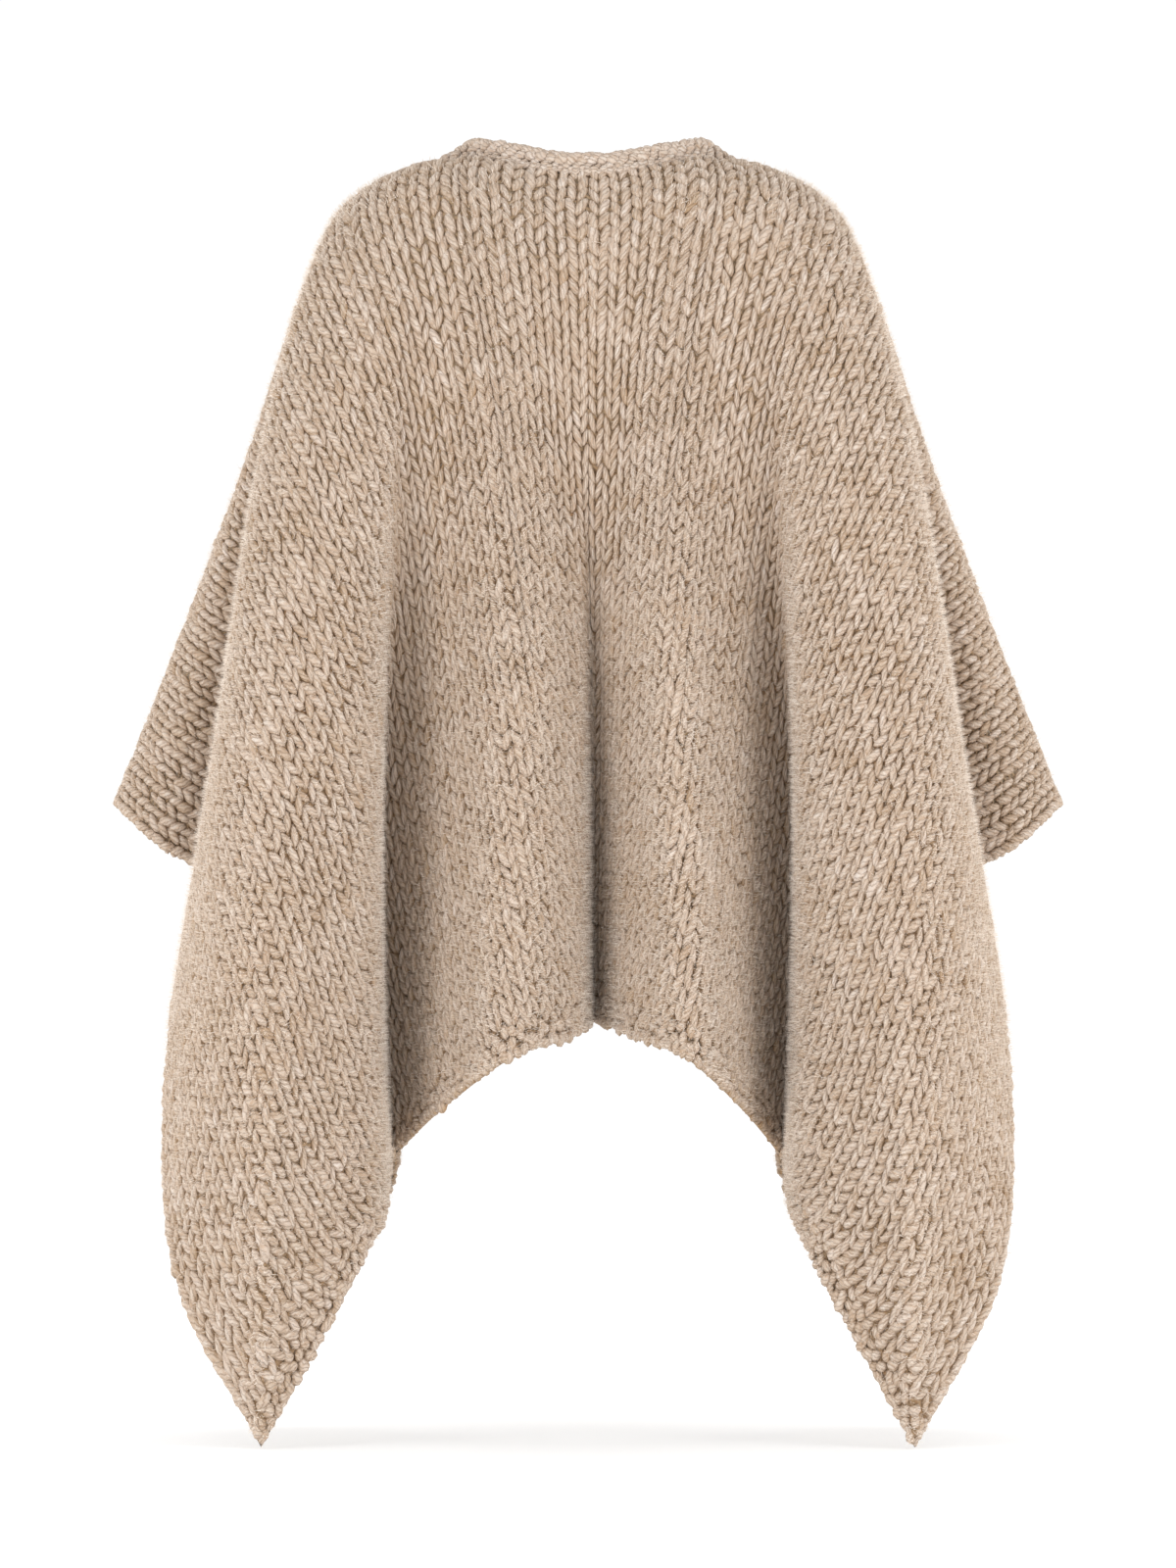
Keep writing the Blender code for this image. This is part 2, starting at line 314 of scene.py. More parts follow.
def cut_of(place):
    """The rectangle's coordinates (across, down) at a coarse grid of the half."""
    place = place[:: ROWS // CUT_ROWS, :: COLUMNS // CUT_COLUMNS]
    rows, columns = place.shape[:2]
    per_fold = CUT_COLUMNS // ARM
    neck, tip = NECK_END * per_fold, TIP * per_fold
    hem = run_length(place[-1, : tip + 1])
    side = run_length(place[-1, tip:])
    top_line = run_length(np.concatenate([place[0, neck:], place[1:, -1]]))
    top_line = NECK_HALF_WIDTH + top_line / top_line[-1] * (CUT_HALF_WIDTH - NECK_HALF_WIDTH)
    shoulder, arm = top_line[: columns - neck], top_line[columns - neck :]
    top = np.append(np.abs(place[0, :neck, 0]), shoulder)
    end_across = np.append(hem / hem[-1] * CUT_HALF_WIDTH, np.full(columns - tip - 1, CUT_HALF_WIDTH))
    end_down = np.append(np.full(tip + 1, CUT_LENGTH), CUT_LENGTH * (1 - side[1:] / side[-1]))
    t = np.linspace(0, 1, rows)[:, None]
    guess = np.stack([top * (1 - t) + end_across * t, end_down * t], axis=-1)
    index = np.arange(rows * columns).reshape(rows, columns)
    across = {int(i): 0.0 for i in index[:, 0]}
    across.update({int(i): float(a) for i, a in zip(index[0], top)})
    across.update({int(i): float(a) for i, a in zip(index[1:, -1], arm)})
    across.update({int(i): CUT_HALF_WIDTH for i in index[-1, tip:]})
    down = {int(i): 0.0 for i in list(index[:, -1]) + list(index[0, neck:])}
    down.update({int(i): CUT_LENGTH for i in index[-1, : tip + 1]})
    return flatten(place, guess, across, down).reshape(rows, columns, 2)


cuts = {name: cut_of(place) for name, (place, _) in grids.items()}
for name, cut in cuts.items():
    print(name, "neck cut at the centre", round(float(cut[0, 0, 1]), 3), "m below the shoulder line")

# %% [markdown]
# ## From the rectangle to the folds
# To set a stitch, the flat map has to be read the other way: where on the worn cape is the point that
# lies so far across and so far down the rectangle? A search tree over the flat triangles answers that
# along each column of stitches, from the neck or the shoulder to the hem. Every stitch later only looks
# between four points of this net.

# %% Reading the flat map the other way
NET_COLUMNS = 200
NET_ROWS = 200


def between(values, row, column):
    """Reads a grid between its points, and goes straight on past its edges."""
    i = np.clip(np.floor(row).astype(int), 0, values.shape[0] - 2)
    j = np.clip(np.floor(column).astype(int), 0, values.shape[1] - 2)
    y, x = (row - i)[..., None], (column - j)[..., None]
    top = values[i, j] * (1 - x) + values[i, j + 1] * x
    return top * (1 - y) + (values[i + 1, j] * (1 - x) + values[i + 1, j + 1] * x) * y


def grid_places(cut, across, down):
    """Rows and columns of the fine grid that lie so far across and down the rectangle."""
    rows, columns = cut.shape[:2]
    triangles = grid_triangles(rows, columns, diagonals=1)
    flat = cut.reshape(-1, 2)
    tree = BVHTree.FromPolygons([(a, b, 0) for a, b in flat.tolist()], triangles.tolist())
    found = [tree.find_nearest((a, b, 0)) for line in down.tolist() for a, b in zip(across.tolist(), line)]
    spot = np.array([tuple(hit[0])[:2] for hit in found])
    near = triangles[np.array([hit[2] for hit in found])]
    corner = flat[near]
    one, two, to = corner[:, 1] - corner[:, 0], corner[:, 2] - corner[:, 0], spot - corner[:, 0]
    size = one[:, 0] * two[:, 1] - one[:, 1] * two[:, 0]
    second = (to[:, 0] * two[:, 1] - to[:, 1] * two[:, 0]) / size
    third = (one[:, 0] * to[:, 1] - one[:, 1] * to[:, 0]) / size
    share = np.stack([1 - second - third, second, third], axis=1)
    row = ((share * (near // columns)).sum(axis=1) * (ROWS // CUT_ROWS)).reshape(down.shape)
    column = ((share * (near % columns)).sum(axis=1) * (COLUMNS // CUT_COLUMNS)).reshape(down.shape)
    return row, column


# %% [markdown]
# Knitting evens itself out when it hangs. So each column moves a little sideways, to share a local
# squeeze with its neighbours, and each row moves about half way to where an even spacing down the column
# would put it. Near the hem it moves the whole way, so that the last row lies along the edge. Columns that
# end at the neck have fewer rows: their net runs on past the rim, as if the neck hole were filled, and the
# rim's own level is kept, so that no stitch is set above it.

# %% The worn net of each half
NET_REACH = 14
ROWS_AS_CUT = 0.55
HEM_REACH = 0.16


def fading(reach):
    """Weights for neighbours on both sides, which fade out past the reach."""
    return np.hanning(2 * reach + 3)[1:-1]


def moving_sum(line, reach):
    return np.convolve(np.pad(line, reach, mode="edge"), fading(reach), mode="valid")


def softened(length):
    """Spreads a local squeeze of a run of points over its neighbours, and keeps the run's whole length."""
    soft = np.append(0, np.cumsum(moving_sum(np.diff(length), NET_REACH)))
    return soft * length[-1] / soft[-1]


def worn_net(place, normal, cut):
    """Worn points and normals on a net of columns, and how far down each column its rim lies."""
    across = np.linspace(0, CUT_HALF_WIDTH, NET_COLUMNS + 1)
    top = np.interp(across, cut[0, :, 0], cut[0, :, 1])
    down = top + (CUT_LENGTH - top) * np.linspace(0, 1, NET_ROWS + 1)[:, None]
    row, column = grid_places(cut, across, down)
    for each, line in enumerate(between(place, row, column)):
        length = run_length(line)
        for grid in (row, column):
            grid[each] = np.interp(softened(length), length, grid[each])
    worn = between(place, row, column)
    lengths = np.array([run_length(worn[:, each]) for each in range(NET_COLUMNS + 1)])
    neck = int(np.searchsorted(across, NECK_HALF_WIDTH))
    step = lengths[neck + 1, -1] - lengths[neck - 1, -1]
    ends_at_neck = np.arange(NET_COLUMNS + 1) < neck
    full = lengths[:, -1] + np.where(ends_at_neck, step * (across / NECK_HALF_WIDTH) ** 3, 0)
    full[neck] = lengths[neck + 1, -1]
    level = np.linspace(0, CUT_LENGTH, NET_ROWS + 1)
    as_cut_share = ROWS_AS_CUT * (1 - smooth_step(level, CUT_LENGTH - HEM_REACH, CUT_LENGTH))
    rim = np.zeros(NET_COLUMNS + 1)
    for each, length in enumerate(lengths):
        even = length[-1] - full[each] * (1 - level / CUT_LENGTH)
        as_cut = np.interp(level, down[:, each], length) + np.minimum(level - down[0, each], 0)
        along = as_cut_share * as_cut + (1 - as_cut_share) * even
        past_rim = np.minimum(along, 0) / length[1]
        for grid in (row, column):
            line = grid[:, each]
            grid[:, each] = np.interp(along, length, line) + past_rim * (line[1] - line[0])
        rim[each] = np.interp(0, along, level)
    return np.concatenate([between(place, row, column), between(normal, row, column)], axis=-1), rim


dressed = {name: worn_net(*grids[name], cuts[name]) for name in HALVES}
nets = {name: net for name, (net, rim) in dressed.items()}
rims = {name: rim for name, (net, rim) in dressed.items()}
for name, net in nets.items():
    print(name, "rim below the net's top by up to", round(float(rims[name].max()) * 1000), "mm")
    gap_across = np.linalg.norm(np.diff(net[:, :, :3], axis=1), axis=-1) * NET_COLUMNS / CUT_HALF_WIDTH
    gap_down = np.linalg.norm(np.diff(net[:, :, :3], axis=0), axis=-1) * NET_ROWS / CUT_LENGTH
    print(name, "stretch across", np.round(np.percentile(gap_across, (5, 50, 95)), 2),
          "down", np.round(np.percentile(gap_down, (5, 50, 95)), 2))


def drape(half, across, down, lift):
    """Worn points for places on the rectangle, lifted off the middle of the cloth."""
    row, column = down * NET_ROWS / CUT_LENGTH, across * NET_COLUMNS / CUT_HALF_WIDTH
    net = between(nets[half], row, column)
    return net[..., :3] + unit(net[..., 3:]) * lift[..., None]


def rim_level(half, across):
    """How far down the rectangle the neck rim lies, 0 beside the neck."""
    return np.interp(across, np.linspace(0, CUT_HALF_WIDTH, NET_COLUMNS + 1), rims[half])


# %% [markdown]
# ## Meshes from arrays
# Twenty thousand loops of yarn are far too many to add one at a time. A helper hands whole arrays of
# points and faces to Blender, together with a map along each loop for the twist of the yarn and a tone
# that makes one loop lighter than the next and also carries painted shade and painted highlight.

# %% Mesh helper
made = []


def make_piece(name, points, faces, yarn_map, tones, material):
    mesh = bpy.data.meshes.new(name)
    mesh.vertices.add(len(points))
    mesh.vertices.foreach_set("co", points.astype(np.float32).ravel())
    corners = np.concatenate([group.ravel() for group in faces])
    sizes = np.concatenate([np.full(len(group), group.shape[1]) for group in faces])
    mesh.loops.add(len(corners))
    mesh.loops.foreach_set("vertex_index", corners.astype(np.int32))
    mesh.polygons.add(len(sizes))
    mesh.polygons.foreach_set("loop_start", (np.cumsum(sizes) - sizes).astype(np.int32))
    mesh.polygons.foreach_set("use_smooth", np.ones(len(sizes), dtype=bool))
    mesh.uv_layers.new(name="yarn").data.foreach_set("uv", yarn_map[corners].astype(np.float32).ravel())
    # The tone holds random differences and also painted shade and painted highlight.
    tone = mesh.attributes.new("tone", "FLOAT", "POINT")
    tone.data.foreach_set("value", tones.astype(np.float32))
    mesh.update(calc_edges=True)
    mesh.materials.append(material)
    piece = bpy.data.objects.new(name, mesh)
    bpy.context.scene.collection.objects.link(piece)
    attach(piece, "root")
    triangles = int((sizes - 2).sum())
    made.append((name, triangles))
    print(name, triangles, "triangles")
    return piece


# %% [markdown]
# ## Finishes from nodes
# Each finish is a small network of nodes, so it stays sharp close up and needs no picture. It could be
# wired by hand in the node editor. A few helpers add and link the nodes instead, so that a finish reads
# like a recipe.

# %% Adding nodes
def node(tree, kind, **settings):
    """Adds a node. In the node editor they stand in columns of six, in the order of making."""
    made_node = tree.nodes.new(kind)
    column, row = divmod(len(tree.nodes), 6)
    made_node.location = (200 * column - 1500, 600 - 220 * row)
    for key, value in settings.items():
        setattr(made_node, key, value)
    return made_node


def feed(tree, socket, value):
    """Gives a socket its constant value, or links it to the socket that its value comes from."""
    if isinstance(value, (int, float, tuple)):
        socket.default_value = value
    else:
        tree.links.new(value, socket)


def maths(tree, operation, *inputs):
    made_node = node(tree, "ShaderNodeMath", operation=operation)
    for socket, value in zip(made_node.inputs, inputs):
        feed(tree, socket, value)
    return made_node.outputs[0]


def blend_colours(tree, share, low, high, mode="MIX"):
    made_node = node(tree, "ShaderNodeMix", data_type="RGBA", blend_type=mode)
    for number, value in zip((0, 6, 7), (share, low, high)):
        feed(tree, made_node.inputs[number], value)
    return made_node.outputs[2]


# %% Helpers for finishes
def noise(tree, scale, detail, coordinates=None):
    """Noise at the given coordinates, or else at the place on the cape."""
    if coordinates is None:
        coordinates = node(tree, "ShaderNodeTexCoord").outputs["Object"]
    made_node = node(tree, "ShaderNodeTexNoise")
    for name, value in (("Vector", coordinates), ("Scale", scale), ("Detail", detail)):
        feed(tree, made_node.inputs[name], value)
    return made_node.outputs["Fac"]


def yarn_places(tree):
    """Both numbers of the yarn map: round and along a loop, or across and down the cloth."""
    parts = node(tree, "ShaderNodeSeparateXYZ")
    tree.links.new(node(tree, "ShaderNodeUVMap", uv_map="yarn").outputs["UV"], parts.inputs[0])
    return parts.outputs["X"], parts.outputs["Y"]


def new_finish(name, constants):
    """A material, its tree and its shader, with constant values on the shader's own sockets."""
    material = bpy.data.materials.new(name)
    material.use_nodes = True
    shader = material.node_tree.nodes["Principled BSDF"]
    for socket, value in constants.items():
        shader.inputs[socket].default_value = value
    return material, material.node_tree, shader


def add_bump(tree, shader, height, strength, distance):
    bump = node(tree, "ShaderNodeBump")
    for name, value in (("Height", height), ("Strength", strength), ("Distance", distance)):
        feed(tree, bump.inputs[name], value)
    tree.links.new(bump.outputs[0], shader.inputs["Normal"])


# %% [markdown]
# ## Wool
# The yarn is a soft, loosely plied oatmeal wool. Three things make it read as wool and not as plastic:
# fine slanting lines where the plies twist round each other, with painted shade in the grooves, streaks
# of lighter and darker fibre along each ply, and a pale sheen where short hairs catch the light at grazing
# angles. The tone also carries painted shade and a painted highlight: a low tone, deep between the loops,
# turns the colour darker and browner, and a high tone, on the crest of a loop, makes it a little whiter.

# %% The colour of wool
WOOL_GROOVE_SHADE = (0.27, 0.172, 0.108, 1)
WOOL_TAN = (0.448, 0.312, 0.212, 1)
WOOL_PALE = (0.590, 0.492, 0.400, 1)
WARM_SHADE = 1.7
HIGHLIGHT_WHITENING = 1.4
CLOUD_SCALE = 240
FIBRE_SCALE = 700
PLY_WOBBLE = 1.4
GROOVE_SHARPNESS = 2.6
GROOVE_PAINTED_SHADE = 0.68
FIBRE_PALENESS = 0.22
STREAK_STRETCH = (1.7, 3.0, 60.0)
STREAK_CONTRAST = (0.30, 0.66)


def dyed_wool(name, ply_count, ply_slant):
    """Wool without relief. Also gives back the grooves between the plies, and the fine fibres."""
    material, tree, shader = new_finish(name, {
        "Roughness": 0.95, "Specular IOR Level": 0.15, "Sheen Weight": 0.25, "Sheen Roughness": 0.45,
        "Sheen Tint": (1.0, 0.90, 0.80, 1)})
    round_loop, along_loop = yarn_places(tree)
    tone = node(tree, "ShaderNodeAttribute", attribute_name="tone").outputs["Fac"]
    wobble = maths(tree, "MULTIPLY", noise(tree, CLOUD_SCALE, 2), PLY_WOBBLE)
    twist = maths(tree, "ADD", maths(tree, "MULTIPLY", round_loop, ply_count),
                  maths(tree, "MULTIPLY", along_loop, ply_slant))
    turn = maths(tree, "ADD", twist, wobble)
    ply = maths(tree, "ABSOLUTE", maths(tree, "SINE", maths(tree, "MULTIPLY", turn, math.pi)))
    groove = maths(tree, "POWER", maths(tree, "SUBTRACT", 1.0, ply), GROOVE_SHARPNESS)
    fibres = noise(tree, FIBRE_SCALE, 2)
    streak_place = node(tree, "ShaderNodeCombineXYZ")
    for socket, value, stretch in zip(streak_place.inputs, (turn, along_loop, tone), STREAK_STRETCH):
        tree.links.new(maths(tree, "MULTIPLY", value, stretch), socket)
    streaks = node(tree, "ShaderNodeMapRange")
    for socket, value in zip(("From Min", "From Max"), STREAK_CONTRAST):
        streaks.inputs[socket].default_value = value
    tree.links.new(noise(tree, 1.0, 3, streak_place.outputs[0]), streaks.inputs["Value"])
    colour = blend_colours(tree, streaks.outputs[0], WOOL_TAN, WOOL_PALE)
    # Painted shade: the grooves between the plies are darkened towards a deep brown.
    colour = blend_colours(tree, maths(tree, "MULTIPLY", groove, GROOVE_PAINTED_SHADE), colour, WOOL_GROOVE_SHADE)
    colour = blend_colours(tree, maths(tree, "MULTIPLY", fibres, FIBRE_PALENESS), colour, WOOL_PALE)
    # Painted shade and painted highlight: a tone below 1 turns the colour browner, a tone above 1 whiter.
    shaded, lit = maths(tree, "MINIMUM", tone, 1.0), maths(tree, "MAXIMUM", tone, 1.0)
    tint = node(tree, "ShaderNodeCombineColor")
    for channel in range(3):
        browner = maths(tree, "POWER", shaded, WARM_SHADE**channel)
        whiter = maths(tree, "POWER", lit, HIGHLIGHT_WHITENING**channel)
        tree.links.new(maths(tree, "MULTIPLY", browner, whiter), tint.inputs[channel])
    colour = blend_colours(tree, 1.0, colour, tint.outputs[0], mode="MULTIPLY")
    tree.links.new(colour, shader.inputs["Base Color"])
    return material, tree, shader, groove, fibres


# %% Plied wool
PLY_COUNT = 4.0
PLY_SLANT = 2.8
GROOVE_HEIGHT = -0.55
FIBRE_HEIGHT = 0.5
PLY_RELIEF = 1.2 * MM


def plied_wool(name):
    """The stitches' wool: four plies, counted round the loop, that slant along it."""
    material, tree, shader, groove, fibres = dyed_wool(name, PLY_COUNT, PLY_SLANT)
    height = maths(tree, "ADD", maths(tree, "MULTIPLY", groove, GROOVE_HEIGHT),
                   maths(tree, "MULTIPLY", fibres, FIBRE_HEIGHT))
    add_bump(tree, shader, height, 0.8, PLY_RELIEF)
    return material


stitch_wool = plied_wool("plied_oatmeal_wool")
print("material", stitch_wool.name, "with", len(stitch_wool.node_tree.nodes), "nodes")

# %% [markdown]
# ## The cloth under the stitches
# Behind the stitches the cloth is one continuous sheet, and from below or through the neck its inside
# shows: the wrong side of stocking stitch, rows of small half-round bumps. A thin closed shell carries
# both faces. Its outer face lies just under the loops of yarn, where only dark gaps show, and is painted
# darker and browner there as shade.

# %% Cloth material
WALE = CUT_HALF_WIDTH / 45
COURSE = CUT_LENGTH / 61
PURL_ARCH = 0.22
PURL_ROUNDNESS = 0.35
FINE_SCALE = 420
FINE_HEIGHT = 0.35
PURL_RELIEF = 3.5 * MM


def purl_side(name):
    """The wrong side: bumps in rows, each half a stitch along from the ones above and below."""
    material, tree, shader, _, _ = dyed_wool(name, 0.0, 0.0)
    across, down = yarn_places(tree)
    row = maths(tree, "MULTIPLY", down, 2 / COURSE)
    half_turn = maths(tree, "MULTIPLY", maths(tree, "FLOOR", row), math.pi)
    column = maths(tree, "MULTIPLY", across, 2 * math.pi / WALE)
    wave = maths(tree, "SINE", maths(tree, "ADD", column, half_turn))
    arched = maths(tree, "ADD", row, maths(tree, "MULTIPLY", wave, PURL_ARCH))
    ridge = maths(tree, "ABSOLUTE", maths(tree, "SINE", maths(tree, "MULTIPLY", arched, math.pi)))
    bumps = maths(tree, "ADD", ridge, maths(tree, "MULTIPLY", wave, PURL_ROUNDNESS))
    fine = maths(tree, "MULTIPLY", noise(tree, FINE_SCALE, 3), FINE_HEIGHT)
    add_bump(tree, shader, maths(tree, "ADD", bumps, fine), 1.0, PURL_RELIEF)
    return material


cloth_wool = purl_side("purl_side_wool")
print("material", cloth_wool.name, "with", len(cloth_wool.node_tree.nodes), "nodes")

# %% Cloth shells
CLOTH_OUTER = 0.3 * MM
CLOTH_INNER = -2.9 * MM
GAP_SHADE_TONE = 0.84
INSIDE_TONE = 0.95
CLOTH_COLUMN_STEP = 8
CLOTH_ROW_STEP = 2


def cloth_grid(half):
    """Points, normals and cut coordinates of one half at the cloth's own spacing."""
    place, normal = grids[half]
    rows = np.arange(0, ROWS + 1, CLOTH_ROW_STEP)
    columns = np.arange(0, COLUMNS + 1, CLOTH_COLUMN_STEP)
    row, column = np.meshgrid(rows * CUT_ROWS / ROWS, columns * CUT_COLUMNS / COLUMNS, indexing="ij")
    return np.concatenate([place[rows][:, columns], normal[rows][:, columns],
                           between(cuts[half], row, column)], axis=-1)


def cloth_shell(panel):
    left, right = cloth_grid(panel + "_left")[:, ::-1], cloth_grid(panel + "_right")
    left[..., 6] *= -1
    grid = np.concatenate([left[:, :-1], right], axis=1)
    rows, columns = grid.shape[:2]
    outer = grid[..., :3] + grid[..., 3:6] * CLOTH_OUTER
    inner = grid[..., :3] + grid[..., 3:6] * CLOTH_INNER
    points = np.concatenate([outer.reshape(-1, 3), inner.reshape(-1, 3)])
    index = np.arange(rows * columns).reshape(rows, columns)
    front = np.stack([index[:-1, :-1], index[1:, :-1], index[1:, 1:], index[:-1, 1:]], axis=-1).reshape(-1, 4)
    border = np.concatenate([index[0, :-1], index[:-1, -1], index[-1, :0:-1], index[:0:-1, 0]])
    after = np.roll(border, -1)
    back = front[:, ::-1] + rows * columns
    rim = np.stack([border, after, after + rows * columns, border + rows * columns], axis=1)
    faces = np.concatenate([front, back, rim])
    if HALVES[panel + "_right"][2] > 0:
        faces = faces[:, ::-1]
    cut = np.tile(grid[..., 6:8].reshape(-1, 2), (2, 1))
    # The outer face gets a low tone as painted shade between the loops; the inside its own tone.
    tones = np.repeat([GAP_SHADE_TONE, INSIDE_TONE], rows * columns)
    return make_piece(panel + "_cloth", points, [faces], cut, tones, cloth_wool)


cloths = {panel: cloth_shell(panel) for panel in ("back", "front")}

# %% [markdown]
# ## One loop of yarn
# Seen from the right side, a knit stitch is a letter V: two plump legs that come up out of the stitch
# below and dive under the stitch above. One leg is a short tube of three rings between two tips, open
# towards the cloth that it lies on. The same form, shorter and lying flatter, also makes the bumps of the
# border, and closed all round it makes the loops of the edges.

# %% Loop forms
FOOT_SHADE = 0.25
FOOT_HEIGHT = 0.6
TIP_SHADE = 0.08
CREST_HIGHLIGHT = 0.11


class Loop:
    """Offsets of one loop's points along, aside and up, as shares of its size, its painted shade and
    highlight, and its faces.
    """

    def __init__(self, along, width, lift, sides, low_angle):
        closed = low_angle is None
        angles = (np.linspace(0, 2 * math.pi, sides, endpoint=False) if closed
                  else np.linspace(low_angle, math.pi - low_angle, sides))
        rings = len(along) - 2
        ring = np.arange(1, rings + 1)
        self.along = np.concatenate([[along[0]], np.repeat(along[ring], sides), [along[-1]]])
        self.aside = np.concatenate([[0], np.outer(width[ring], np.cos(angles)).ravel(), [0]])
        self.up = np.concatenate([[0], np.outer(width[ring] ** 0.7, np.sin(angles)).ravel(), [0]])
        self.lift = np.concatenate([[lift[0]], np.repeat(lift[ring], sides), [lift[-1]]])
        # Painted shade on the low sides and the tips, where the loop meets the cloth; painted highlight on
        # its top.
        foot = 0 if closed else FOOT_SHADE * np.clip(FOOT_HEIGHT - np.sin(angles), 0, 1)
        crest = CREST_HIGHLIGHT * np.clip(np.sin(angles), 0, 1)
        self.shade = np.concatenate([[1 - TIP_SHADE], np.tile(1 + crest - foot, rings), [1 - TIP_SHADE]])
        share = np.arange(sides) / (sides if closed else sides - 1)
        self.around = np.concatenate([[0.5], np.tile(share, rings), [0.5]])
        self.count = len(self.along)
        number = 1 + np.arange(rings * sides).reshape(rings, sides)
        if closed:
            number = np.concatenate([number, number[:, :1]], axis=1)
        low, high = number[0], number[-1]
        self.ends = np.concatenate([
            np.stack([0 * low[1:], low[:-1], low[1:]], axis=1),
            np.stack([high[:-1], 0 * high[1:] + self.count - 1, high[1:]], axis=1)])
        self.bands = np.stack([number[:-1, :-1], number[1:, :-1], number[1:, 1:], number[:-1, 1:]],
                              axis=-1).reshape(-1, 4)

    def faces(self, count, mirrored):
        start = (np.arange(count) * self.count)[:, None, None]
        groups = [(start + group).reshape(-1, group.shape[1]) for group in (self.ends, self.bands)]
        return [group[:, ::-1] for group in groups] if mirrored else groups


LEG_ALONG = np.array([-0.5, -0.30, -0.02, 0.30, 0.5])
LEG_WIDTH = np.array([0.0, 0.78, 1.0, 0.78, 0.0])
LEG_LIFT = np.array([0.5, 1.2, 1.0, 0.0, -1.3]) * MM
fine_leg = Loop(LEG_ALONG, LEG_WIDTH, LEG_LIFT, 6, math.radians(-35))
plain_leg = Loop(LEG_ALONG, LEG_WIDTH, LEG_LIFT, 5, math.radians(-30))
EDGE_ALONG = np.array([-0.5, -0.30, 0.0, 0.30, 0.5])
EDGE_WIDTH = np.array([0.0, 0.82, 1.0, 0.82, 0.0])
edge_loop = Loop(EDGE_ALONG, EDGE_WIDTH, np.zeros(5), 6, None)
print("points in a leg", fine_leg.count, "and in an edge loop", edge_loop.count)

# %% [markdown]
# ## Thick and thin yarn
# Hand knitting is never even. The yarn swells and thins along its length, and since it runs along a row,
# neighbours in a row swell together. So each row gets a slow wave of thickness, and each leg a little of
# its own size, lean and height on top.

# %% Uneven yarn
chance = np.random.default_rng(11)


def vary(spread, *count):
    """Random differences with mean 0."""
    return chance.normal(0, spread, count)


def along_rows(rows, columns, reach):
    """Smooth noise along each row, with mean 0 and spread 1."""
    raw = chance.normal(size=(rows, columns + 2 * reach))
    smooth = np.array([np.convolve(line, fading(reach), mode="valid") for line in raw])
    return smooth / smooth.std()


def loops_on_cloth(half, form, across, down, lean, length, width, depth, lift, tone, bow=None):
    """Points, yarn map and tones of many loops of one form on one half. They lean from the column."""
    along = form.along * length[:, None]
    aside = form.aside * width[:, None]
    bend = 0 if bow is None else bow[:, None] * (1 - 4 * form.along**2)
    a = across[:, None] + along * np.sin(lean)[:, None] + (aside + bend) * np.cos(lean)[:, None]
    b = down[:, None] - along * np.cos(lean)[:, None] + (aside + bend) * np.sin(lean)[:, None]
    up = lift[:, None] + form.lift + form.up * depth[:, None]
    highest = rim_level(half, across)[:, None] - 0.5 * COURSE
    points = drape(half, a, np.maximum(b, highest), up).reshape(-1, 3)
    around = np.broadcast_to(form.around, along.shape) + chance.uniform(0, 1, len(across))[:, None]
    yarn_map = np.stack([around, np.broadcast_to(form.along, along.shape)], axis=-1).reshape(-1, 2)
    # The form's painted shade and highlight are multiplied into each loop's tone.
    return points, yarn_map, (tone[:, None] * form.shade).ravel()


def loops_piece(half, kind, form, points, yarn_map, tones):
    """Makes one piece of loops that all have one form."""
    side, facing = HALVES[half][1:]
    faces = form.faces(len(points) // form.count, side * facing > 0)
    return make_piece(f"{half}_{kind}", points, faces, yarn_map, tones, stitch_wool)


# %% [markdown]
# ## Setting the stitches
# The rectangle is divided into columns and rows of stitches, and each cell gets the two legs of its V.
# The last rows at the hem are worked in moss stitch, which lies flat and does not curl: there the yarn
# shows as small knobs that lean one way and the other in turn.

# %% Sizes of the stitches
BORDER_ROWS = 2
LEG_OFFSET = 4.35 * MM
LEG_LEAN = math.radians(16)
LOW_LEAN = math.radians(21)
LEG_LENGTH = 22.6 * MM
LEG_HALF_WIDTH = 4.35 * MM
LEG_DEPTH = 3.9 * MM
LEG_BOW = 0.4 * MM
ROW_DRIFT = 2.6 * MM
LEG_DRIFT = 1.3 * MM
LEAN_CHANGE = (0.10, 0.35)
ROW_SWELL = 0.055
ROW_SHADE = 0.015
KNOB_ROWS = 3
KNOB_PITCH = 9.4 * MM
KNOB_COLUMNS = round(CUT_HALF_WIDTH / KNOB_PITCH)
KNOB_LEAN = math.radians(30)
KNOB_LIFT = 0.3 * MM
KNOB_LENGTH = 14.0 * MM
KNOB_HALF_WIDTH = 4.9 * MM
STITCH_COLUMNS = round(CUT_HALF_WIDTH / WALE)
STITCH_ROWS = round(CUT_LENGTH / COURSE)
print("stitches in each half:", STITCH_ROWS, "rows of", STITCH_COLUMNS)


